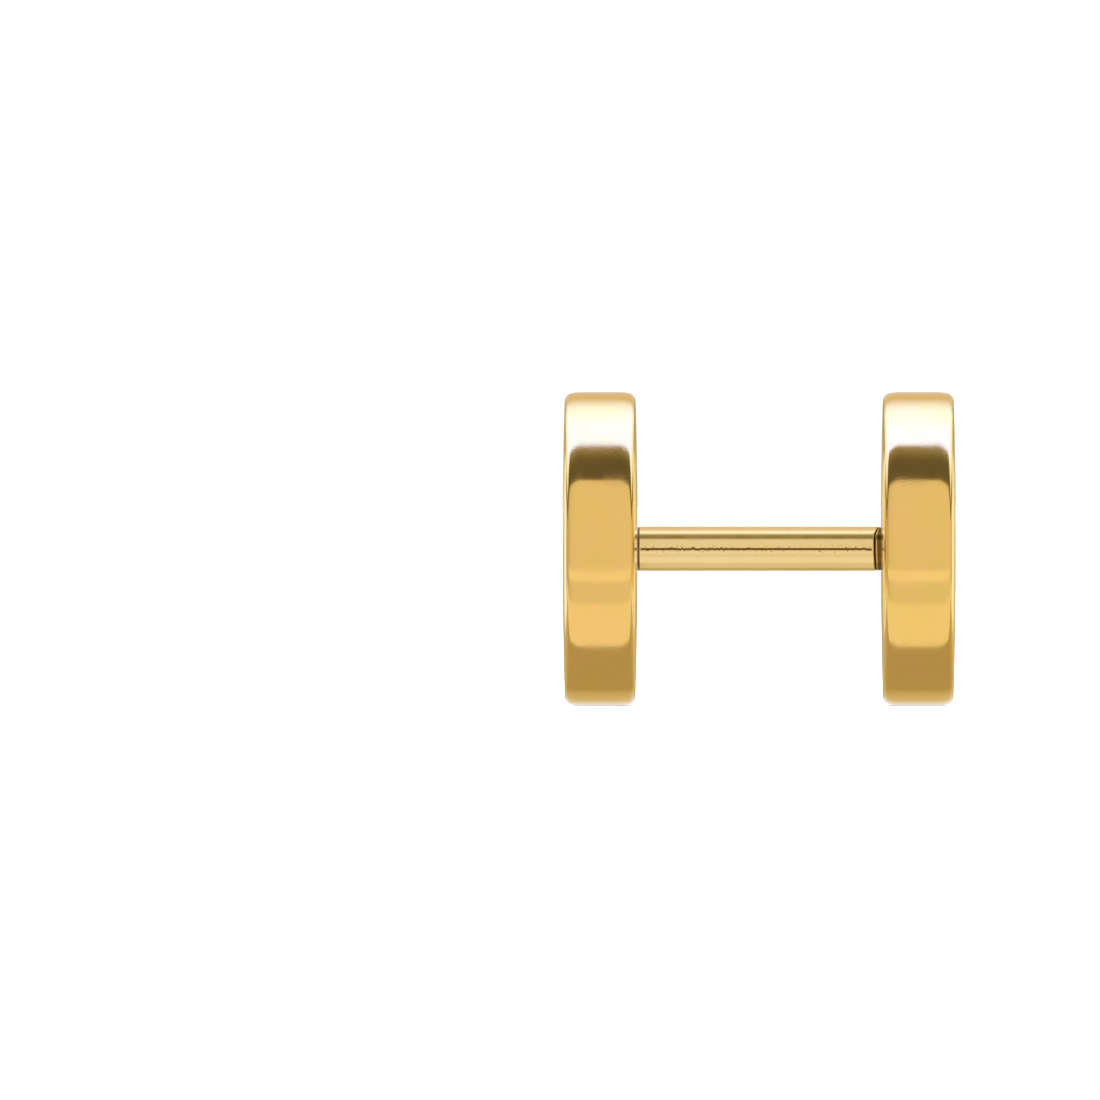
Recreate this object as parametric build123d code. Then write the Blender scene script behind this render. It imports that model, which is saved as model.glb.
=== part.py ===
from build123d import *
from math import cos, radians, sin
import os

# A double-disc screw stud, drawn screwed home and lying on the rims of its two discs.
# Sizes are in millimetres and angles in degrees. X runs along the post from the front disc
# to the back disc, Z is up, and the origin is on the surface under the middle of the stud.

# The two discs are like blanks, polished on both faces and round the rim
disc_diameter = 8.0
disc_thickness = 1.92
face_gap = 6.2
edge_radius = 0.3
roll_radius = 2.0
roll_angle = 7.0
hole_floor = 0.7

# The post is one turned bar: a spigot in the front disc, the shank, and a threaded tail
post_diameter = 1.15
spigot_diameter = 0.8
front_seam = 0.05
back_seam = 0.14
shank_edge = 0.02
shoulder_radius = 0.07
relief_diameter = 0.8
relief_length = 0.1
thread_diameter = 1.08
thread_taper = 0.02
end_chamfer = 0.1

# Gaps between the post and the discs
press_clearance = 0.01
thread_clearance = 0.015
end_clearance = 0.03
mouth_chamfer = 0.04

# Places along the post, and the height of its axis, that follow from the sizes above
axis_height = disc_diameter / 2
front_face_x = -face_gap / 2
back_face_x = face_gap / 2
hole_depth = disc_thickness - hole_floor
shank_start = front_face_x + front_seam
shank_end = back_face_x - back_seam
spigot_end = front_face_x - hole_depth + end_clearance
tail_end = back_face_x + hole_depth - end_clearance


def turned(outline):
    """Turn a half section, drawn with X along the post and Y outwards, about the post's axis."""
    section = Plane.XZ * make_face(outline)
    return Pos(0, 0, axis_height) * revolve(section, Axis.X)


def blank():
    """A plain disc whose inner face is at X 0: flat faces, a slow roll-off, then a round edge."""
    turn = radians(roll_angle)
    flat_radius = disc_diameter / 2 - roll_radius * sin(turn) - edge_radius * (1 - sin(turn))
    inner_face = Line((0, 0), (0, flat_radius))
    inner_roll = JernArc(inner_face @ 1, inner_face % 1, roll_radius, -roll_angle)
    inner_edge = JernArc(inner_roll @ 1, inner_roll % 1, edge_radius, roll_angle - 90)
    edge_depth = roll_radius * (1 - cos(turn)) + edge_radius * cos(turn)
    rim = Line(inner_edge @ 1, (disc_thickness - edge_depth, disc_diameter / 2))
    outer_edge = JernArc(rim @ 1, rim % 1, edge_radius, roll_angle - 90)
    outer_roll = JernArc(outer_edge @ 1, outer_edge % 1, roll_radius, -roll_angle)
    outer_face = Line(outer_roll @ 1, (disc_thickness, 0))
    closing = Line(outer_face @ 1, inner_face @ 0)
    outline = [inner_face, inner_roll, inner_edge, rim, outer_edge, outer_roll, outer_face, closing]
    return turned(outline)


def hole(diameter):
    """A blind hole from the inner face at X 0, with a small chamfer at its mouth."""
    radius = diameter / 2
    points = [
        (0, 0),
        (0, radius + mouth_chamfer),
        (mouth_chamfer, radius),
        (hole_depth, radius),
        (hole_depth, 0),
    ]
    return turned(Polyline(*points, close=True))


def make_front_disc():
    """The disc that is worn in front, with a plain socket for the post's spigot."""
    disc = blank() - hole(spigot_diameter + 2 * press_clearance)
    return Pos(front_face_x, 0, 0) * mirror(disc, about=Plane.YZ)


def make_back_disc():
    """The disc that screws off, with a blind hole for the post's threaded tail."""
    disc = blank() - hole(thread_diameter + 2 * thread_clearance)
    return Pos(back_face_x, 0, 0) * disc


def make_post():
    """Spigot, shank with a rounded shoulder, a relief behind it, and the tail at its thread's crests.

    The crests stand a little lower towards the end, so that the back disc starts easily.
    """
    post_radius = post_diameter / 2
    spigot_radius = spigot_diameter / 2
    relief_radius = relief_diameter / 2
    thread_radius = thread_diameter / 2
    tail_radius = thread_radius - thread_taper
    relief_end = shank_end + relief_length
    spigot_and_shank = Polyline(
        (spigot_end, 0),
        (spigot_end, spigot_radius - end_chamfer),
        (spigot_end + end_chamfer, spigot_radius),
        (shank_start, spigot_radius),
        (shank_start, post_radius - shank_edge),
        (shank_start + shank_edge, post_radius),
        (shank_end - shoulder_radius, post_radius),
    )
    shoulder = JernArc(spigot_and_shank @ 1, (1, 0), shoulder_radius, -90)
    relief_and_tail = Polyline(
        shoulder @ 1,
        (shank_end, relief_radius),
        (relief_end - (thread_radius - relief_radius), relief_radius),
        (relief_end, thread_radius),
        (tail_end - end_chamfer, tail_radius),
        (tail_end, tail_radius - end_chamfer),
        (tail_end, 0),
        (spigot_end, 0),
    )
    return turned([spigot_and_shank, shoulder, relief_and_tail])


os.makedirs("parts", exist_ok=True)
export_step(make_front_disc(), "parts/front_disc.step")
export_step(make_post(), "parts/post.step")
export_step(make_back_disc(), "parts/back_disc.step")
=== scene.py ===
import bpy
from math import asin, cos, degrees, pi, radians, sin
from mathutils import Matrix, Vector


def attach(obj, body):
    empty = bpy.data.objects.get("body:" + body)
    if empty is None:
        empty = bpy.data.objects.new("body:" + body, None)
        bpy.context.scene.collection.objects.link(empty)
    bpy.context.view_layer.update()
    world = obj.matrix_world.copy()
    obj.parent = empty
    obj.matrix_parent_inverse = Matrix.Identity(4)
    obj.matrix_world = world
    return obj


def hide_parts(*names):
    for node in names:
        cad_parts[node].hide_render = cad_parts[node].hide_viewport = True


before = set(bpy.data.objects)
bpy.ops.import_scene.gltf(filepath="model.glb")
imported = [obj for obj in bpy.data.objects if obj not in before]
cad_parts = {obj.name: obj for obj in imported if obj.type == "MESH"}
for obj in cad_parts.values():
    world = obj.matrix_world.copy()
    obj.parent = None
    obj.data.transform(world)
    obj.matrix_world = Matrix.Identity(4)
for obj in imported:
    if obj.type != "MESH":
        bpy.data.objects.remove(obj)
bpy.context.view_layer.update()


# Front disc. A coin-like blank turned from steel bar, with slightly domed faces and a cambered
# rim, polished to a mirror all over and plated a yellow gold colour. Its inner face has a plain
# blind socket, in which the spigot of the post is pressed for good.

MM = 0.001
DISC_RADIUS, DISC_THICKNESS = 4.0, 1.92
DOME_RADIUS, DOME_STEPS = 130.0, 14
ROLL_RADIUS, ROLL_ANGLE, ROLL_STEPS = 2.0, 7.0, 12
EDGE_RADIUS, EDGE_STEPS = 0.19, 26
CAMBER_RADIUS, CAMBER_ANGLE, CAMBER_STEPS = 1.2, 13.0, 12
RIM_STEPS, STEPS_AROUND_DISC = 4, 320
CREASE_GAPS, SHORT_RUN = (0.004, 0.016), 0.05
HOLE_DEPTH, MOUTH_CHAMFER, SOCKET_RADIUS = 1.22, 0.04, 0.41
FRONT_FACE_X, AXIS_HEIGHT = -3.1, 4.0


def go_to(section, x, r, steps=1):
    """Add a straight run to a half section, with extra points close to both of its ends."""
    x0, r0 = section[-1][:2]
    length = ((x - x0) ** 2 + (r - r0) ** 2) ** 0.5
    shares = [i / steps for i in range(1, steps + 1)]
    if length > SHORT_RUN:
        close = [gap / length for gap in CREASE_GAPS]
        shares += close + [1 - share for share in close]
    for share in sorted(shares):
        section.append((x0 + (x - x0) * share, r0 + (r - r0) * share, 0.0))


def bend(section, heading, radius, turn, steps):
    """Add an arc to a half section, from a heading in degrees, and return the new heading."""
    x0, r0 = section[-1][:2]
    side = 1 if turn > 0 else -1
    centre_x = x0 - side * radius * sin(radians(heading))
    centre_r = r0 + side * radius * cos(radians(heading))
    for i in range(1, steps + 1):
        angle = radians(heading + turn * i / steps)
        x = centre_x + side * radius * sin(angle)
        section.append((x, centre_r - side * radius * cos(angle), 0.0))
    return heading + turn


def domed(radii):
    """Points on the inner face, which stands a touch proud in its middle, at the radii given."""
    return [(DOME_RADIUS - (DOME_RADIUS ** 2 - r ** 2) ** 0.5, r, 0.0) for r in radii]


def finish_blank(section):
    """Carry a section that stands on the inner face, X 0, out over the rim to the outer face."""
    roll, camber = radians(ROLL_ANGLE), radians(CAMBER_ANGLE)
    edge_reach = EDGE_RADIUS * (cos(camber) - sin(roll)) + CAMBER_RADIUS * (1 - cos(camber))
    dome_reach = DISC_RADIUS - ROLL_RADIUS * sin(roll) - edge_reach
    tilt = asin(dome_reach / (DOME_RADIUS - ROLL_RADIUS))
    dome_edge = DOME_RADIUS * sin(tilt)
    shares = [i / DOME_STEPS for i in range(1, DOME_STEPS)]
    hole = section[-1][1]
    section += domed([hole + gap for gap in CREASE_GAPS])
    section += domed([hole + (dome_edge - hole) * share for share in shares])
    # the roll-off, the round edge and the camber, which all come back on the outer face
    edge = domed([dome_edge])
    heading = bend(edge, 90 - degrees(tilt), ROLL_RADIUS, degrees(tilt) - ROLL_ANGLE, ROLL_STEPS)
    heading = bend(edge, heading, EDGE_RADIUS, CAMBER_ANGLE - heading, EDGE_STEPS)
    bend(edge, heading, CAMBER_RADIUS, -heading, CAMBER_STEPS)
    section += edge
    go_to(section, DISC_THICKNESS - edge[-1][0], DISC_RADIUS, RIM_STEPS)
    outer_half = edge[-2::-1] + domed([dome_edge * (1 - share) for share in shares] + [0.0])
    section += [(DISC_THICKNESS - x, r, 0.0) for x, r, depth in outer_half]


class Wiring:
    """A node tree, with short ways to add nodes to it and join them up."""

    def __init__(self, tree):
        self.tree = tree

    def join(self, source, socket):
        """Feed a socket from another one, or set the value that it holds. None leaves it alone."""
        if isinstance(source, bpy.types.NodeSocket):
            self.tree.links.new(source, socket)
        elif source is not None:
            socket.default_value = source

    def add(self, kind, sources=(), **settings):
        """Add a node. Its sources are in the order of its sockets, or by their names or places."""
        node = self.tree.nodes.new(kind)
        for name, value in settings.items():
            setattr(node, name, value)
        pairs = sources.items() if isinstance(sources, dict) else enumerate(sources)
        for socket, source in pairs:
            self.join(source, node.inputs[socket])
        return node

    def math(self, operation, *sources):
        """What one Math node makes of sockets and plain numbers."""
        return self.add("ShaderNodeMath", sources, operation=operation).outputs[0]

    def ramp(self, value, low, high, out_low, out_high, kind="SMOOTHSTEP"):
        """Carry a value from one span to another, and hold it at the ends."""
        sources = (value, low, high, out_low, out_high)
        return self.add("ShaderNodeMapRange", sources, interpolation_type=kind).outputs[0]

    def step(self, value, start, end):
        """A smooth step from 0 at the start to 1 at the end, whichever way they lie."""
        out_low, out_high = float(start > end), float(start < end)
        return self.ramp(value, min(start, end), max(start, end), out_low, out_high)

    def lay_over(self, below, mask, colour):
        """Paint a colour over what is there, as far as the mask reaches."""
        below, colour = [source if isinstance(source, bpy.types.NodeSocket) else (*source, 1)
                         for source in (below, colour)]
        sources = {0: mask, 6: below, 7: colour}
        return self.add("ShaderNodeMix", sources, data_type="RGBA").outputs[2]


# a thread's crest ends and its root begins at these shares of the pitch from the crest's middle
CREST_FLAT, ROOT_FLAT = 0.05, 0.40
# a shank's end may reach further where the cosine of the angle from the top is past these, and
# the reach fades in between these two distances from the end
TOP_REACH_FROM, LOW_REACH_FROM = 0.64, -0.2
REACH_FADES_IN = 0.2, 0.06
# points that are closer than this, in metres, become one
WELD = 5e-8


def turning_tree():
    """Geometry Nodes that turn a half section about the post's axis.

    The section is a row of loose points. A point's X is its place along the axis, its Y the
    radius, and its Z how deep a right-hand thread is cut there. All are in millimetres.
    """
    wires = Wiring(bpy.data.node_groups.new("turn_piece", "GeometryNodeTree"))
    add, math, ramp = wires.add, wires.math, wires.ramp
    face = wires.tree.interface
    face.new_socket("Section", in_out="INPUT", socket_type="NodeSocketGeometry")
    for name, kind, value in (
        ("Steps around", "NodeSocketInt", 256),
        ("Axis height", "NodeSocketFloat", AXIS_HEIGHT),
        ("Thread pitch", "NodeSocketFloat", 0.25),
        ("Thread start", "NodeSocketFloat", 0.0),
        ("Turn inside out", "NodeSocketBool", False),
        ("Shank end", "NodeSocketFloat", 0.0),
        ("Relief end", "NodeSocketFloat", 1.0),
        ("Reach on top", "NodeSocketFloat", 0.0),
        ("Reach below", "NodeSocketFloat", 0.0),
        ("Finish", "NodeSocketMaterial", None),
    ):
        socket = face.new_socket(name, in_out="INPUT", socket_type=kind)
        if value is not None:
            socket.default_value = value
    face.new_socket("Piece", in_out="OUTPUT", socket_type="NodeSocketGeometry")
    given = add("NodeGroupInput").outputs
    section, steps_around = given["Section"], given["Steps around"]

    # each step round the axis is a column of the grid, and each point of the section a row. The
    # quarter keeps the division clear of rounding.
    points = add("GeometryNodeAttributeDomainSize", [section]).outputs["Point Count"]
    size = {"Vertices X": math("ADD", steps_around, 1), "Vertices Y": points}
    grid = add("GeometryNodeMeshGrid", size).outputs["Mesh"]
    index = add("GeometryNodeInputIndex").outputs[0]
    column = math("FLOOR", math("DIVIDE", math("ADD", index, 0.25), points))
    row = math("SUBTRACT", index, math("MULTIPLY", column, points))
    angle = math("MULTIPLY", math("DIVIDE", column, steps_around), 2 * pi)
    position = add("GeometryNodeInputPosition").outputs[0]
    sources = {"Geometry": section, "Value": position, "Index": row}
    point = add("GeometryNodeSampleIndex", sources, data_type="FLOAT_VECTOR").outputs[0]
    along, radius, depth = add("ShaderNodeSeparateXYZ", [point]).outputs

    # the thread winds once round the axis for each pitch, and is cut down to its root
    turns = math("DIVIDE", math("SUBTRACT", along, given["Thread start"]), given["Thread pitch"])
    turns = math("SUBTRACT", turns, math("DIVIDE", angle, 2 * pi))
    flank = ramp(math("PINGPONG", turns, 0.5), CREST_FLAT, ROOT_FLAT, 0.0, 1.0)
    radius = math("SUBTRACT", radius, math("MULTIPLY", depth, flank))
    radius = math("MAXIMUM", radius, 0.0)

    # the end of the shank reaches further on top and below, and what follows it closes up
    height = math("COSINE", angle)
    on_top = ramp(height, TOP_REACH_FROM, 1.0, 0.0, given["Reach on top"], "LINEAR")
    below = ramp(height, -1.0, LOW_REACH_FROM, given["Reach below"], 0.0, "LINEAR")
    end = given["Shank end"]
    fade_start, fade_end = [math("SUBTRACT", end, gap) for gap in REACH_FADES_IN]
    before = ramp(along, fade_start, fade_end, 0.0, 1.0, "LINEAR")
    after = ramp(along, end, given["Relief end"], 1.0, 0.0, "LINEAR")
    reach = math("MULTIPLY", math("ADD", on_top, below), math("MINIMUM", before, after))
    along = math("ADD", along, reach)

    across = math("MULTIPLY", radius, math("SINE", angle))
    up = math("ADD", math("MULTIPLY", radius, height), given["Axis height"])
    place = add("ShaderNodeCombineXYZ", (along, across, up)).outputs[0]
    metres = add("ShaderNodeVectorMath", {0: place, "Scale": MM}, operation="SCALE").outputs[0]
    piece = add("GeometryNodeSetPosition", {"Geometry": grid, "Position": metres}).outputs[0]
    piece = add("GeometryNodeMergeByDistance", {"Geometry": piece, "Distance": WELD}).outputs[0]
    inside_out = {0: piece, "Selection": given["Turn inside out"]}
    piece = add("GeometryNodeFlipFaces", inside_out).outputs[0]
    piece = add("GeometryNodeSetShadeSmooth", [piece]).outputs[0]
    piece = add("GeometryNodeRealizeInstances", [piece]).outputs[0]
    coated = {"Geometry": piece, "Material": given["Finish"]}
    piece = add("GeometryNodeSetMaterial", coated).outputs[0]
    add("NodeGroupOutput", [piece])
    return wires.tree


turn_piece = turning_tree()


def turn(name, section, finish, **sizes):
    """Turn a half section into a finished piece with the nodes, and return it as a plain mesh."""
    wire = bpy.data.meshes.new(name + "_section")
    wire.from_pydata(section, [], [])
    blank = bpy.data.objects.new(name + "_blank", wire)
    bpy.context.collection.objects.link(blank)
    modifier = blank.modifiers.new("turning", "NODES")
    modifier.node_group = turn_piece
    sizes["Finish"] = finish
    for item in turn_piece.interface.items_tree:
        if item.in_out == "INPUT" and item.name in sizes:
            modifier[item.identifier] = sizes[item.name]
    graph = bpy.context.evaluated_depsgraph_get()
    mesh = bpy.data.meshes.new_from_object(blank.evaluated_get(graph))
    mesh.name = name
    bpy.data.objects.remove(blank)
    piece = bpy.data.objects.new(name, mesh)
    bpy.context.collection.objects.link(piece)
    return piece


# the patterns of the plate, which start at a place of their own on each piece: how many spots
# to the metre, with how much finer detail, and heights in metres
SEED_SHIFT, SEED_PLACE = 0.013, (3.7, 1.9, 5.3)
TINT_SPOTS, TINT_DETAIL = 900, 2
GLOSS_SPOTS, GLOSS_DETAIL = 1600, 4
WAVE_SPOTS, WAVE_DETAIL, WAVE_HEIGHT = 1100, 2, 2.2e-6
MARK_SPOTS, MARK_DETAIL, MARK_HEIGHT = 14000, 3, 1.6e-7
PIT_PATCHES, PIT_SPOTS, PIT_DETAIL, PIT_DEPTH = 800, 30000, 1, 5e-7
GRAZING_TINT = (1.0, 0.93, 0.65, 1)


class GoldPlate(Wiring):
    """Bright gold plate over polished steel: uneven tint and gloss, and faint polishing marks.

    More may be laid over its colour and relief, which are sockets, until it is finished.
    """

    def __init__(self, name, seed, warm, pale, roughness, mark_stretch):
        self.material = bpy.data.materials.new(name)
        self.material.use_nodes = True
        super().__init__(self.material.node_tree)
        self.seed, self.shift = seed, SEED_SHIFT * seed
        where = self.add("ShaderNodeTexCoord").outputs["Object"]
        centre = {"Vector": where, "Location": (self.shift, 0, -AXIS_HEIGHT * MM)}
        self.centred = self.add("ShaderNodeMapping", centre).outputs[0]
        self.surface = self.tree.nodes["Principled BSDF"].inputs
        self.join(1.0, self.surface["Metallic"])
        self.join(GRAZING_TINT, self.surface["Specular Tint"])
        patches = self.step(self.noise(TINT_SPOTS, TINT_DETAIL), 0.35, 0.65)
        self.colour = self.lay_over(warm, patches, pale)
        gloss = self.ramp(self.noise(GLOSS_SPOTS, GLOSS_DETAIL), 0.3, 0.7, *roughness)
        self.join(gloss, self.surface["Roughness"])
        self.relief = None
        self.emboss(self.noise(WAVE_SPOTS, WAVE_DETAIL), WAVE_HEIGHT)
        self.emboss(self.noise(MARK_SPOTS, MARK_DETAIL, mark_stretch), MARK_HEIGHT)

    def noise(self, spots, detail, stretch=(1, 1, 1)):
        """Cloudy spots all through the piece, drawn out where the stretch is under 1."""
        spread = self.add("ShaderNodeMapping", {
            "Vector": self.centred,
            "Scale": [spots * share for share in stretch],
            "Location": [self.seed * share for share in SEED_PLACE],
        }).outputs[0]
        cloud = {"Vector": spread, "Scale": 1.0, "Detail": detail}
        return self.add("ShaderNodeTexNoise", cloud).outputs["Fac"]

    def emboss(self, height, distance, strength=1.0, invert=False):
        """Add a height to the relief, or cut it in where it is inverted."""
        sources = {"Height": height, "Distance": distance, "Strength": strength}
        sources["Normal"] = self.relief
        self.relief = self.add("ShaderNodeBump", sources, invert=invert).outputs[0]

    def finish(self):
        """Join the colour and relief to the surface, and return the material."""
        self.join(self.colour, self.surface["Base Color"])
        self.join(self.relief, self.surface["Normal"])
        return self.material


DISC_GOLD = (0.935, 0.600, 0.160), (0.955, 0.590, 0.178)
MIRROR = (0.085, 0.125)
ROUND_MARKS = (1, 0.15, 0.15)


def plate_disc(name, seed):
    """The plate of a disc, with patches of fine pits that the polishing has left."""
    plate = GoldPlate(name, seed, *DISC_GOLD, MIRROR, ROUND_MARKS)
    patches = plate.step(plate.noise(PIT_PATCHES, PIT_DETAIL), 0.42, 0.54)
    pits = plate.step(plate.noise(PIT_SPOTS, PIT_DETAIL), 0.50, 0.68)
    plate.emboss(pits, PIT_DEPTH, patches, invert=True)
    return plate.finish()


front_section = [(HOLE_DEPTH, 0.0, 0.0)]
go_to(front_section, HOLE_DEPTH, SOCKET_RADIUS)
go_to(front_section, MOUTH_CHAMFER, SOCKET_RADIUS)
go_to(front_section, 0.0, SOCKET_RADIUS + MOUTH_CHAMFER)
finish_blank(front_section)
front_section = [(FRONT_FACE_X - x, r, depth) for x, r, depth in front_section]
front_disc = turn("front_disc_polished", front_section, plate_disc("gold_front_disc", 1),
                  **{"Steps around": STEPS_AROUND_DISC})
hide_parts("front_disc")
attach(front_disc, "front")


# Post. One turned bar: the spigot in the front disc, the polished shank that the ear lobe sits
# on, a rounded shoulder, and a tail with a fine right-hand thread for the back disc.

SPIGOT_END, SPIGOT_RADIUS, END_CHAMFER = -4.29, 0.40, 0.1
COLLAR_START, COLLAR_END, COLLAR_RADIUS = -3.098, -3.088, 0.568
GROOVE_RADIUS = 0.560
SHANK_START, SHANK_END, SHANK_STEPS = -3.055, 2.945, 24
POST_RADIUS, STEPS_AROUND_POST = 0.575, 192
SHANK_EDGE, SHANK_EDGE_STEPS = 0.008, 6
SHOULDER_RADIUS, SHOULDER_STEPS = 0.055, 16
REACH_ON_TOP, REACH_BELOW = 0.10, 0.035
RELIEF_RADIUS, RELIEF_END = 0.558, 3.105
RING_START, RING_WIDTH, RING_RADIUS = 2.968, 0.055, 0.568
RING_STEPS, RING_FULLNESS = 12, 0.6
THREAD_RADIUS, THREAD_TAPER, THREAD_DEPTH = 0.54, 0.02, 0.13
THREAD_PITCH, THREAD_START, THREAD_LEAD = 0.25, 3.01, 0.08
THREAD_ROWS_FROM, THREAD_END, THREAD_ROWS = 3.107, 4.29, 150
END_SHARES = 0.01, 0.04, 0.2, 0.4, 0.6, 0.8, 1.0

post_section = [(SPIGOT_END, 0.0, 0.0)]
for x, r in (
    (SPIGOT_END, SPIGOT_RADIUS - END_CHAMFER),
    (SPIGOT_END + END_CHAMFER, SPIGOT_RADIUS),
    (COLLAR_START, SPIGOT_RADIUS),
    (COLLAR_START, COLLAR_RADIUS),
    (COLLAR_END, COLLAR_RADIUS),
    (COLLAR_END, GROOVE_RADIUS),
    (SHANK_START, GROOVE_RADIUS),
    (SHANK_START, POST_RADIUS - SHANK_EDGE),
):
    go_to(post_section, x, r)
bend(post_section, 90, SHANK_EDGE, -90, SHANK_EDGE_STEPS)
go_to(post_section, SHANK_END - SHOULDER_RADIUS, POST_RADIUS, SHANK_STEPS)
bend(post_section, 0, SHOULDER_RADIUS, -90, SHOULDER_STEPS)
go_to(post_section, SHANK_END, RELIEF_RADIUS)
go_to(post_section, RING_START, RELIEF_RADIUS)
for i in range(RING_STEPS + 1):
    angle = pi * i / RING_STEPS
    x = RING_START + RING_WIDTH * (1 - cos(angle)) / 2
    rise = (RING_RADIUS - RELIEF_RADIUS) * sin(angle) ** RING_FULLNESS
    post_section.append((x, RELIEF_RADIUS + rise, 0.0))
go_to(post_section, RELIEF_END, RELIEF_RADIUS)
for i in range(THREAD_ROWS + 1):
    share = i / THREAD_ROWS
    x = THREAD_ROWS_FROM + (THREAD_END - THREAD_ROWS_FROM) * share
    rise = min(1.0, (x - RELIEF_END) / THREAD_LEAD)
    crest = RELIEF_RADIUS + (THREAD_RADIUS - RELIEF_RADIUS) * rise - THREAD_TAPER * share
    r = crest - max(0.0, x - (THREAD_END - END_CHAMFER))
    post_section.append((x, r, min(THREAD_DEPTH * rise, r)))
for share in END_SHARES:
    post_section.append((THREAD_END, r * (1 - share), min(THREAD_DEPTH, r) * (1 - share)))

POST_GOLD = (0.950, 0.685, 0.290), (0.955, 0.700, 0.320)
DRAWN = (0.17, 0.22)
LONG_MARKS, LINE_RUN, LINE_GRAIN = (0.08, 1, 1), (1, 0, 0), (0.5, 1, 1)
TEAR_SPOTS, JAG_SPOTS, GRAIN_SPOTS = 900, 34000, 26000
# the dark colour of the draw lines, also laid on as painted shade in the seams and thread root,
# and how deep all of these are cut into the relief
DARK_LINES_AND_SHADE, WEAR_DEPTH = (0.19, 0.080, 0.007), 2e-6
# each draw line's angle round the bar and its strength, how far they wander, their width and
# that of the pits beside them, all in radians, then where they begin and end
DRAW_LINES = (-0.012, 1.0), (2.35, 0.5), (-1.85, 0.4)
WANDER, LINE_WIDTH, PITTED_WIDTH = (0.004, 0.19), (0.068, 0.034), (0.22, 0.05)
LINES_BEGIN, LINES_END = (-3.04, -3.02), (2.89, 2.86)
# painted shade in the seam at each joint: how far from the joints' middle, and how far out from
# the axis
JOINT_X, SEAM_SHADE_WIDTH, SEAM_SHADE_TOP = 3.02, (0.11, 0.09), (0.573, 0.562)
# painted shade at the root of the thread: where it fades in and out along the axis, the radii over
# which it fades, and its strength
THREAD_FADES_IN, THREAD_FADES_OUT, ROOT_SHADE_TOP = (3.10, 3.14), (4.28, 4.24), (0.42, 0.50)
ROOT_SHADE_STRENGTH = 0.6


def plate_post(name, seed):
    """The plate of the post, with dark lines along the bar, and painted shade in the seam at each
    joint and in the root of the thread.
    """
    plate = GoldPlate(name, seed, *POST_GOLD, DRAWN, LONG_MARKS)
    math, ramp, noise = plate.math, plate.ramp, plate.noise
    along, out, high = plate.add("ShaderNodeSeparateXYZ", [plate.centred]).outputs

    def fade(value, limits, shift=0.0):
        """From 0 to 1 between two places in millimetres."""
        start, end = [limit * MM + shift for limit in limits]
        return plate.step(value, start, end)

    # the lines run straight but where the die has torn them, and have fine pits beside them
    round_bar = math("ARCTAN2", high, math("MULTIPLY", out, -1.0))
    torn = ramp(noise(TEAR_SPOTS, 1, LINE_RUN), 0.42, 0.58, *WANDER)
    wander = math("MULTIPLY", math("SUBTRACT", noise(JAG_SPOTS, 2, LINE_RUN), 0.5), torn)
    grain = noise(GRAIN_SPOTS, 2, LINE_GRAIN)
    lines = 0.0
    for angle, strength in DRAW_LINES:
        off = math("ABSOLUTE", math("SUBTRACT", math("SUBTRACT", round_bar, angle), wander))
        scored = math("MULTIPLY", plate.step(off, *LINE_WIDTH), ramp(grain, 0.25, 0.45, 0.8, 1))
        pitted = math("MULTIPLY", plate.step(off, *PITTED_WIDTH), plate.step(grain, 0.60, 0.66))
        worn = math("MULTIPLY", math("MAXIMUM", scored, pitted), strength)
        lines = math("MAXIMUM", lines, worn)
    past_start = fade(along, LINES_BEGIN, plate.shift)
    on_shank = math("MULTIPLY", past_start, fade(along, LINES_END, plate.shift))
    lines = math("MULTIPLY", lines, on_shank)

    radius = math("SQRT", math("ADD", math("MULTIPLY", high, high), math("MULTIPLY", out, out)))
    from_middle = math("ABSOLUTE", math("SUBTRACT", along, plate.shift))
    from_joint = math("ABSOLUTE", math("SUBTRACT", from_middle, JOINT_X * MM))
    # painted shade in the seam at each joint, where the post dips under its shank's radius beside
    # a disc
    seam_shade = math("MULTIPLY", fade(radius, SEAM_SHADE_TOP), fade(from_joint, SEAM_SHADE_WIDTH))
    past_relief = fade(from_middle, THREAD_FADES_IN)
    in_thread = math("MULTIPLY", past_relief, fade(from_middle, THREAD_FADES_OUT))
    root_low, root_high = [limit * MM for limit in ROOT_SHADE_TOP]
    # painted shade in the thread, darker where the radius is lower
    root_shade = math("MULTIPLY", ramp(radius, root_low, root_high, ROOT_SHADE_STRENGTH, 0), in_thread)
    dark = math("MAXIMUM", math("MAXIMUM", lines, seam_shade), root_shade)
    # the draw lines take the dark colour, and so does the painted shade in the seams and thread
    # root
    plate.colour = plate.lay_over(plate.colour, dark, DARK_LINES_AND_SHADE)
    plate.emboss(dark, WEAR_DEPTH, invert=True)
    return plate.finish()


post = turn("post_polished", post_section, plate_post("gold_post", 2),
            **{"Steps around": STEPS_AROUND_POST,
               "Thread pitch": THREAD_PITCH, "Thread start": THREAD_START,
               "Shank end": SHANK_END, "Relief end": RELIEF_END,
               "Reach on top": REACH_ON_TOP, "Reach below": REACH_BELOW})
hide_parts("post")
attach(post, "front")


# Back disc. The same blank as the front disc, with a threaded blind hole in its inner face. It
# unscrews, so that the post can pass through the lobe.

BACK_FACE_X = 3.1
HOLE_RADIUS, HOLE_LEAD, HOLE_ROWS_FROM = 0.555, 0.05, 1.219

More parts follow.
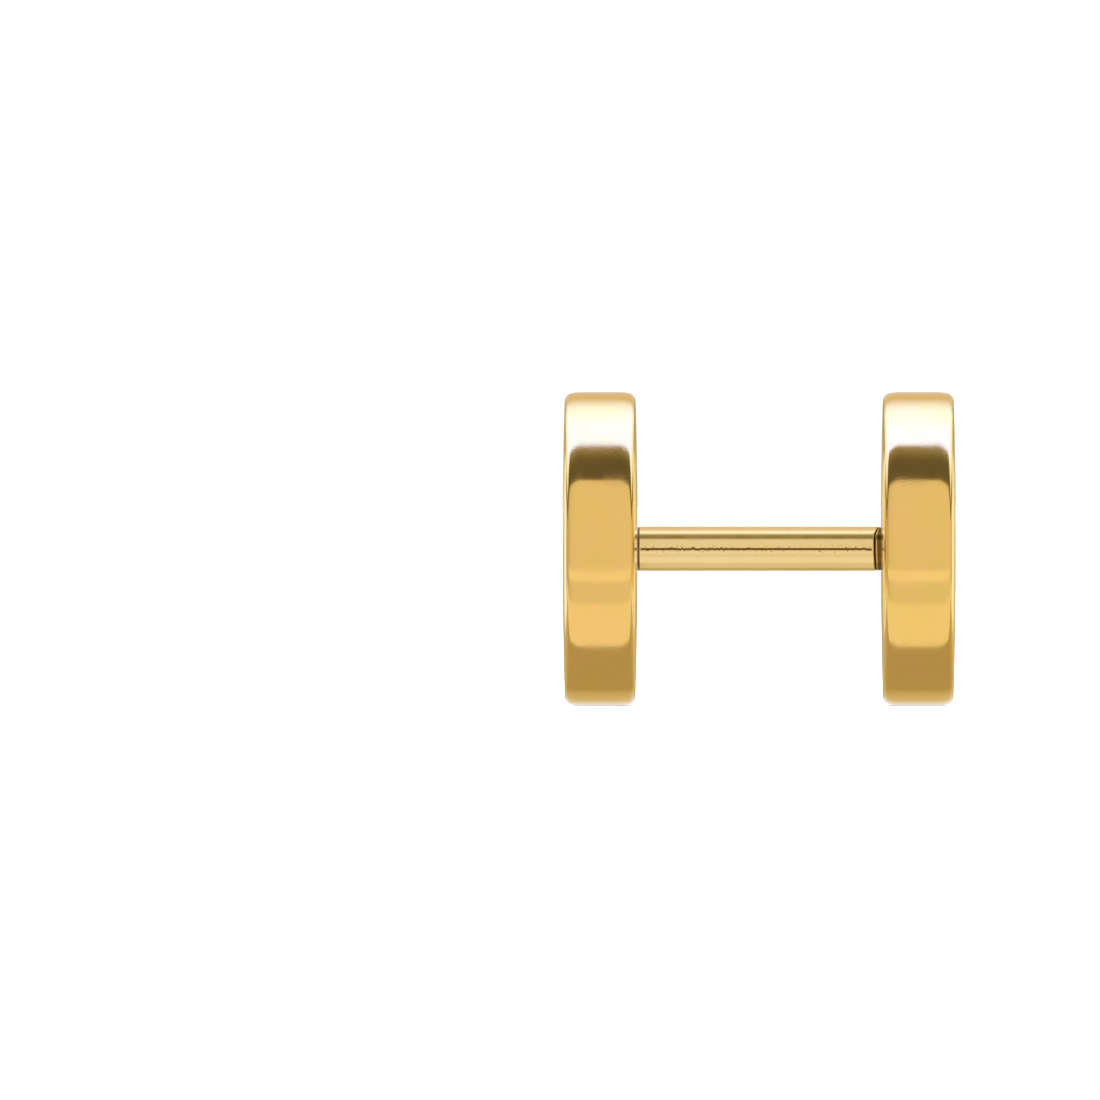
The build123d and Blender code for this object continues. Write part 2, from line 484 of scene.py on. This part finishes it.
back_section = [(HOLE_DEPTH, 0.0, 0.0)]
go_to(back_section, HOLE_DEPTH, HOLE_RADIUS - THREAD_DEPTH)
for i in range(THREAD_ROWS + 1):
    x = HOLE_ROWS_FROM - HOLE_ROWS_FROM * i / THREAD_ROWS
    r = HOLE_RADIUS + max(0.0, MOUTH_CHAMFER - x)
    fade = min(1.0, max(0.0, (x - MOUTH_CHAMFER) / HOLE_LEAD))
    back_section.append((x, r, THREAD_DEPTH * fade))
finish_blank(back_section)
back_section = [(BACK_FACE_X + x, r, depth) for x, r, depth in back_section]
# the section runs the other way along the axis than the front disc's, so its faces are flipped
back_disc = turn("back_disc_polished", back_section, plate_disc("gold_back_disc", 3),
                 **{"Steps around": STEPS_AROUND_DISC, "Turn inside out": True,
                    "Thread pitch": THREAD_PITCH, "Thread start": THREAD_START})
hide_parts("back_disc")
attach(back_disc, "back")


# Table. A plain pale sheet that the stud lies on. Mirror-bright metal takes its reflections from
# the studio light alone, so the sheet stays out of them.

TABLE_HALF = 6.0
PAPER = {"Base Color": (0.8, 0.8, 0.8, 1), "Roughness": 0.9, "Specular IOR Level": 0.0}

corners = [(x * TABLE_HALF, y * TABLE_HALF, 0) for x, y in ((-1, -1), (1, -1), (1, 1), (-1, 1))]
sheet_mesh = bpy.data.meshes.new("table")
sheet_mesh.from_pydata(corners, [], [(0, 1, 2, 3)])
table = bpy.data.objects.new("table", sheet_mesh)
bpy.context.collection.objects.link(table)
table.visible_glossy = False
paper = bpy.data.materials.new("pale_paper")
paper.use_nodes = True
for name, value in PAPER.items():
    paper.node_tree.nodes["Principled BSDF"].inputs[name].default_value = value
sheet_mesh.materials.append(paper)


# Studio light. A wide soft box hangs overhead in a dark frame, and reaches back behind the stud.
# Pale sheets stand in front and on both sides, and the stud is over a dull board on a white one.
# Their colours are what bright gold mirrors as white, so the highlights stay clean.

world = bpy.data.worlds.new("studio")
bpy.context.scene.world = world
world.use_nodes = True
world.node_tree.nodes.clear()
room = Wiring(world.node_tree)
math, step, lay_over = room.math, room.step, room.lay_over


def plane(away, *across):
    """Where a direction meets a plane one unit away: its two places there, and 1 on that side."""
    depth = math("MAXIMUM", away, 0.0001)
    return [math("DIVIDE", side, depth) for side in across] + [step(away, 0.0, 0.002)]


def card(place, left, right, near, far, corner, soft):
    """A mask for a card with round corners on a plane. Its edge fades over the soft width."""
    u, v, on_side = place
    out = []
    for value, low, high in ((u, left, right), (v, near, far)):
        shifted = math("ABSOLUTE", math("SUBTRACT", value, (low + high) / 2))
        out.append(math("SUBTRACT", shifted, (high - low) / 2 - corner))
    outside = [math("POWER", math("MAXIMUM", side, 0.0), 2.0) for side in out]
    reach = math("SQRT", math("ADD", *outside))
    inside = math("MINIMUM", math("MAXIMUM", *out), 0.0)
    edge = math("SUBTRACT", math("ADD", reach, inside), corner)
    return math("MULTIPLY", step(edge, soft / 2, -soft / 2), on_side)


def behind(wires, place, bow, power=1.6):
    """How far a place is behind a line that bows back at its sides, or forward with a minus."""
    u, v, on_side = place
    bowing = wires.math("POWER", wires.math("ABSOLUTE", u), power)
    return wires.math("SUBTRACT", v, wires.math("MULTIPLY", bowing, bow))


def bowed(wires, place, near, bow, half_width, soft):
    """A mask for a sheet whose near edge bows like that, with its middle as far off as near."""
    u, v, on_side = place
    past_edge = wires.step(behind(wires, place, bow), near - soft / 2, near + soft / 2)
    between = wires.step(wires.math("ABSOLUTE", u), half_width + 0.15, half_width - 0.15)
    return wires.math("MULTIPLY", wires.math("MULTIPLY", past_edge, on_side), between)


direction = room.add("ShaderNodeTexCoord").outputs["Generated"]
to_x, to_y, to_z = room.add("ShaderNodeSeparateXYZ", [direction]).outputs
above = plane(to_z, to_x, to_y)
under = plane(math("MULTIPLY", to_z, -1.0), to_x, to_y)
in_front = plane(math("MULTIPLY", to_y, -1.0), to_x, to_z)
left_side, right_side = step(to_x, 0.0, -0.02), step(to_x, 0.0, 0.02)
# how steeply a direction goes up or back, against how far it goes aside, and the two together
aside = math("MAXIMUM", math("ABSOLUTE", to_x), 0.0001)
upward, backward = math("DIVIDE", to_z, aside), math("DIVIDE", to_y, aside)
slant = math("MULTIPLY", backward, upward)

# walls of the room, paler on the right, and darker high up behind
WALL_LEFT, WALL_RIGHT, HIGH_WALL = (0.60, 0.60, 0.62), (0.72, 0.72, 0.76), (0.43, 0.49, 0.50)
studio = lay_over(WALL_LEFT, step(to_x, -0.9, 0.9), WALL_RIGHT)
high_up = math("MULTIPLY", step(slant, 0.25, 0.45), step(backward, 0.3, 0.6))
studio = lay_over(studio, high_up, HIGH_WALL)

# a pale sheet in front, and the white table sheet below it with a bright fold
FRONT_SHEET, TABLE_SHEET, FOLD = (0.82, 0.82, 0.82), (0.95, 0.95, 0.98), (1.0, 1.0, 1.05)
front_sheet = card(in_front, left=-0.66, right=1.75, near=-1.2, far=2.2, corner=0.2, soft=1.0)
studio = lay_over(studio, front_sheet, FRONT_SHEET)
table_sheet = card(under, left=-3.4, right=3.4, near=-1.15, far=1.0, corner=0.4, soft=0.06)
studio = lay_over(studio, table_sheet, TABLE_SHEET)
fold = card(in_front, left=-1.2, right=1.2, near=-0.445, far=-0.287, corner=0.02, soft=0.03)
studio = lay_over(studio, math("MULTIPLY", fold, 0.9), FOLD)

# a bright sheet on each side, drawn back behind the stud, dimmer and narrower there
SHEET_END = 3.0
sweep = math("MULTIPLY", step(slant, 0.40, 0.28), step(slant, -0.34, -0.20))
sweep = math("MULTIPLY", sweep, step(upward, -0.46, -0.34))
for side, bright, dimmer, bend_at in (
    (left_side, (1.08, 1.50, 3.3), (1.00, 1.22, 2.0), 0.8),
    (right_side, (1.06, 1.40, 2.8), (1.02, 1.20, 1.7), 0.5),
):
    ends = step(backward, SHEET_END * 1.15, SHEET_END * 0.85)
    along_it = math("MULTIPLY", step(backward, 0.03, 0.18), ends)
    colour = lay_over(bright, step(backward, bend_at - 0.15, bend_at + 0.15), dimmer)
    studio = lay_over(studio, math("MULTIPLY", math("MULTIPLY", sweep, side), along_it), colour)

# straight behind, mirrored by the slight dome of each face along its outline: a pale screen
# that is dim in its middle, and dimmer drapes above and below it
SCREEN_LEFT, MIDDLE_LEFT = (1.00, 0.86, 0.58), (0.34, 0.24, 0.10)
SCREEN_RIGHT, MIDDLE_RIGHT = (0.98, 0.78, 0.42), (0.16, 0.09, 0.02)
LOW_DRAPE, HIGH_DRAPE = (0.52, 0.42, 0.20), (0.42, 0.36, 0.20)
on_left = lay_over(SCREEN_LEFT, step(backward, 20.0, 28.0), MIDDLE_LEFT)
on_right = lay_over(SCREEN_RIGHT, step(backward, 18.0, 25.0), MIDDLE_RIGHT)
screen = lay_over(on_left, right_side, on_right)
drapes = lay_over(LOW_DRAPE, step(slant, -0.1, 0.1), HIGH_DRAPE)
mid_height = math("MULTIPLY", step(slant, 0.42, 0.30), step(slant, -0.42, -0.30))
level = step(math("ABSOLUTE", to_z), 0.20, 0.10)
straight = math("MULTIPLY", step(backward, 4.0, 6.0), level)
studio = lay_over(studio, straight, lay_over(drapes, mid_height, screen))

# dull board under the stud, a little paler at its sides, with the pale floor far behind it
FLOOR, FLOOR_SIDES = (0.87, 0.95, 1.45), (0.55, 0.42, 0.22)
BOARD, BOARD_SIDES = (0.475, 0.445, 0.36), (0.60, 0.60, 0.54)
BACK_LINE = {"bow": 1.15, "power": 2.0}
board = bowed(room, under, near=-0.23, bow=-0.16, half_width=2.2, soft=0.05)
back = behind(room, under, **BACK_LINE)
to_side = math("ABSOLUTE", under[0])
floor_colour = lay_over(FLOOR, step(to_side, 0.8, 2.5), FLOOR_SIDES)
studio = lay_over(studio, math("MULTIPLY", step(back, 1.2, 3.2), under[2]), floor_colour)
board_colour = lay_over(BOARD, step(to_side, 0.5, 1.7), BOARD_SIDES)
studio = lay_over(studio, math("MULTIPLY", board, step(back, 1.25, 0.75)), board_colour)

# overhead: the dark frame, paler at its edge, then the soft box, which fades out behind
FRAME, FRAME_EDGE = (0.127, 0.124, 0.10), (0.31, 0.30, 0.17)
BOX_LIGHT, HAZE = (1.05, 1.22, 1.60), (0.74, 0.70, 0.75)
FRAME_BOW = -0.13
BOX_SIZES = {"near": -0.13, "bow": -0.22, "half_width": 1.95, "soft": 0.07}
frame_mask = bowed(room, above, near=-0.78, bow=FRAME_BOW, half_width=3.4, soft=0.03)
dark = lay_over(FRAME, step(behind(room, above, FRAME_BOW), -0.42, -0.12), FRAME_EDGE)
studio = lay_over(studio, math("MULTIPLY", frame_mask, step(above[1], 1.3, 0.7)), dark)
box = bowed(room, above, **BOX_SIZES)
studio = lay_over(studio, box, HAZE)
box_light = math("MULTIPLY", box, step(behind(room, above, **BACK_LINE), 0.45, 0.15))
studio = lay_over(studio, box_light, BOX_LIGHT)

# light that has met gold before comes back paler, as between the two inner faces. Other
# surfaces are lit by the same room without its colours, and the camera sees plain white.
PALER, FIRST_MIRROR = (1.02, 1.33, 2.3), 2.0
ON_PAPER, BACKDROP = 2.9, (1.05, 1.05, 1.05)
rays = room.add("ShaderNodeLightPath").outputs
plain = room.add("ShaderNodeRGBToBW", [studio]).outputs[0]
met = math("MAXIMUM", math("SUBTRACT", rays["Ray Depth"], FIRST_MIRROR), 0.0)
gains = [math("POWER", gain, met) for gain in PALER]
gain = room.add("ShaderNodeCombineXYZ", gains).outputs[0]
studio = room.add("ShaderNodeVectorMath", (studio, gain), operation="MULTIPLY").outputs[0]
studio = lay_over(math("MULTIPLY", plain, ON_PAPER), rays["Is Glossy Ray"], studio)
studio = lay_over(studio, rays["Is Camera Ray"], BACKDROP)
background = room.add("ShaderNodeBackground", {"Color": studio}).outputs[0]
room.add("ShaderNodeOutputWorld", [background])

LIGHT_HEIGHT = 3.0


def hang_light(name, height, half_width, near, far, colour, lit):
    """A level sheet of light that falls only on the pieces lit, and the wiring to shade it.

    Its half width, near and far are shares of its height, as a card's are.
    """
    sheet = bpy.data.lights.new(name, "AREA")
    sheet.shape = "RECTANGLE"
    sheet.size, sheet.size_y = 2 * half_width * abs(height), (far - near) * abs(height)
    sheet.energy = pi * sheet.size * sheet.size_y
    sheet.use_nodes = True
    lamp = bpy.data.objects.new(name, sheet)
    bpy.context.collection.objects.link(lamp)
    lamp.location = (0, (near + far) / 2 * abs(height), height)
    lamp.rotation_euler = (0 if height > 0 else pi, 0, 0)
    lamp.visible_camera = False
    receivers = bpy.data.collections.new(name + "_falls_on")
    for piece in lit:
        receivers.objects.link(piece)
    lamp.light_linking.receiver_collection = receivers
    sheet.node_tree.nodes["Emission"].inputs["Color"].default_value = (*colour, 1)
    return Wiring(sheet.node_tree)


# the discs mirror the soft box brighter and further back than the post does
WHITE, NEAR_GLOW, FAR_GLOW = (1, 1, 1), (0.03, 0.45, 4.0), (0.42, 1.00, 4.0)
lamp = hang_light("disc_box", LIGHT_HEIGHT, 2.1, -0.18, 4.2, WHITE, [front_disc, back_disc])
place = lamp.add("ShaderNodeNewGeometry").outputs["Position"]
place = lamp.add("ShaderNodeSeparateXYZ", [place]).outputs[:2]
u, v = [lamp.math("DIVIDE", side, LIGHT_HEIGHT) for side in place]
box = bowed(lamp, (u, v, 1.0), **BOX_SIZES)
back = behind(lamp, (u, v, 1.0), **BACK_LINE)
glow = lamp.tree.nodes["Emission"].inputs
lamp.join(lamp.lay_over(FAR_GLOW, lamp.step(back, 0.45, 0.15), NEAR_GLOW), glow["Color"])
inside = lamp.step(lamp.math("ABSOLUTE", u), 1.8, 0.5)
shade = lamp.math("MULTIPLY", lamp.step(back, 1.60, 0.42), inside)
ray_depth = lamp.add("ShaderNodeLightPath").outputs["Ray Depth"]
first_met = lamp.step(ray_depth, FIRST_MIRROR + 0.6, FIRST_MIRROR + 0.4)
shade = lamp.math("MULTIPLY", shade, first_met)
lamp.join(lamp.math("MULTIPLY", box, shade), glow["Strength"])
# a faint glow in the dark frame and the white sheet going on below, both for the post
FRAME_GLOW, LOW_SHEET = (0.12, 0.085, 0.0), (0.32, 0.32, 0.34)
hang_light("frame_glow", LIGHT_HEIGHT, 1.5, -0.72, -0.14, FRAME_GLOW, [post])
hang_light("low_sheet", -LIGHT_HEIGHT, 1.0, -0.23, 0.50, LOW_SHEET, [post])


# Camera. A long lens looks level along the table, square to the post.

DISTANCE, HEIGHT, FRAME_WIDTH, SENSOR_WIDTH = 1.1, 0.0060, 0.028076, 36
AIM = Vector((-0.005339, 0, 0.003969))
camera = bpy.data.objects.new("camera", bpy.data.cameras.new("camera"))
bpy.context.collection.objects.link(camera)
camera.data.sensor_width = SENSOR_WIDTH
camera.data.lens = SENSOR_WIDTH * DISTANCE / FRAME_WIDTH
camera.data.clip_start, camera.data.clip_end = 0.01, 10
camera.location = (0, -DISTANCE, HEIGHT)
camera.rotation_euler = (AIM - camera.location).to_track_quat("-Z", "Y").to_euler()
bpy.context.scene.camera = camera
bpy.context.scene.view_settings.view_transform = "Standard"
